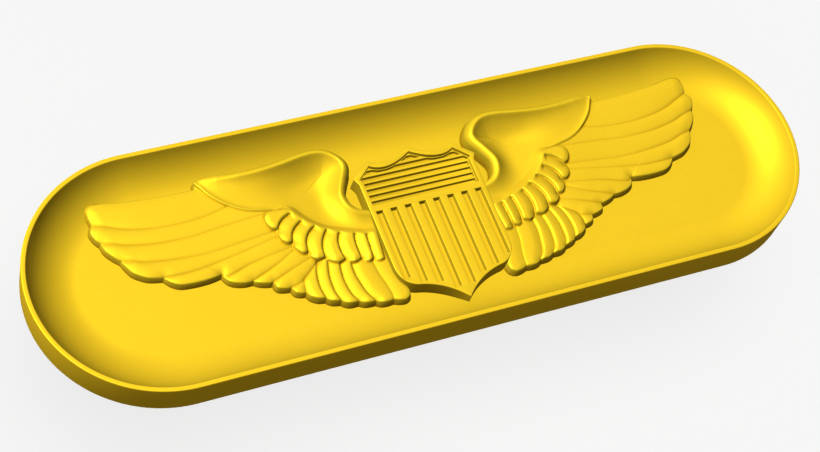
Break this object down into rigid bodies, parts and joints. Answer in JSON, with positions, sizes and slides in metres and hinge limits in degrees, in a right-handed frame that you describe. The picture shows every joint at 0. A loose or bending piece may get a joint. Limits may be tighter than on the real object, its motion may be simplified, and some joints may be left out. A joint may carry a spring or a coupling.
{
  "type": "pilot wings pin",
  "caption": "Dished gold badge with a striped shield between two feathered wings, worn on pointed posts with squeeze-ear butterfly clutches.",
  "frame": {"origin": "centre of the back plate's rear face, the face that lies on the garment", "axes": "+X to the viewer's right along the plate, +Y towards the top of the wings, +Z out of the display face"},
  "size_m": [0.0944, 0.0294, 0.0126],
  "materials": {
    "satin_gold": "satin gold plate over pressed and struck brass",
    "back_gold": "duller gold plate on the back",
    "plated_post": "nickel plate on steel wire",
    "spring_brass": "bright stamped brass"
  },
  "bodies": {
    "badge": {"dish_tray": "satin_gold", "back_plate": "back_gold", "left_wing": "satin_gold", "right_wing": "satin_gold", "shield": "satin_gold", "left_wing_upper_rivet": "back_gold", "left_wing_lower_rivet": "back_gold", "shield_upper_rivet": "back_gold", "shield_lower_rivet": "back_gold", "right_wing_lower_rivet": "back_gold", "right_wing_upper_rivet": "back_gold", "left_post": "plated_post", "centre_post": "plated_post", "right_post": "plated_post"},
    "left_clutch": {"left_clutch_disc": "spring_brass", "left_clutch_cap": "spring_brass"},
    "left_ear_a": {"left_clutch_ear_a": "spring_brass"},
    "left_ear_b": {"left_clutch_ear_b": "spring_brass"},
    "centre_clutch": {"centre_clutch_disc": "spring_brass", "centre_clutch_cap": "spring_brass"},
    "centre_ear_a": {"centre_clutch_ear_a": "spring_brass"},
    "centre_ear_b": {"centre_clutch_ear_b": "spring_brass"},
    "right_clutch": {"right_clutch_disc": "spring_brass", "right_clutch_cap": "spring_brass"},
    "right_ear_a": {"right_clutch_ear_a": "spring_brass"},
    "right_ear_b": {"right_clutch_ear_b": "spring_brass"}
  },
  "joints": [
    {"name": "left_clutch_slide", "type": "slide", "parent": "badge", "child": "left_clutch", "axis": [0, 0, -1], "range_m": [-0.0019, 0.007]},
    {"name": "left_ear_a_squeeze", "type": "hinge", "parent": "left_clutch", "child": "left_ear_a", "pos_m": [-0.0271, 0.003, -0.0043], "axis": [0, 1, 0], "range_deg": [0, 10], "stiffness_Nm_per_rad": 0.05, "springref_deg": -2.86},
    {"name": "left_ear_b_squeeze", "type": "hinge", "parent": "left_clutch", "child": "left_ear_b", "pos_m": [-0.0329, 0.003, -0.0043], "axis": [0, -1, 0], "range_deg": [0, 10], "stiffness_Nm_per_rad": 0.05, "springref_deg": -2.86},
    {"name": "centre_clutch_slide", "type": "slide", "parent": "badge", "child": "centre_clutch", "axis": [0, 0, -1], "range_m": [-0.0019, 0.007]},
    {"name": "centre_ear_a_squeeze", "type": "hinge", "parent": "centre_clutch", "child": "centre_ear_a", "pos_m": [0.0029, -0.0044, -0.0043], "axis": [0, 1, 0], "range_deg": [0, 10], "stiffness_Nm_per_rad": 0.05, "springref_deg": -2.86},
    {"name": "centre_ear_b_squeeze", "type": "hinge", "parent": "centre_clutch", "child": "centre_ear_b", "pos_m": [-0.0029, -0.0044, -0.0043], "axis": [0, -1, 0], "range_deg": [0, 10], "stiffness_Nm_per_rad": 0.05, "springref_deg": -2.86},
    {"name": "right_clutch_slide", "type": "slide", "parent": "badge", "child": "right_clutch", "axis": [0, 0, -1], "range_m": [-0.0019, 0.007]},
    {"name": "right_ear_a_squeeze", "type": "hinge", "parent": "right_clutch", "child": "right_ear_a", "pos_m": [0.0329, 0.003, -0.0043], "axis": [0, 1, 0], "range_deg": [0, 10], "stiffness_Nm_per_rad": 0.05, "springref_deg": -2.86},
    {"name": "right_ear_b_squeeze", "type": "hinge", "parent": "right_clutch", "child": "right_ear_b", "pos_m": [0.0271, 0.003, -0.0043], "axis": [0, -1, 0], "range_deg": [0, 10], "stiffness_Nm_per_rad": 0.05, "springref_deg": -2.86}
  ]
}
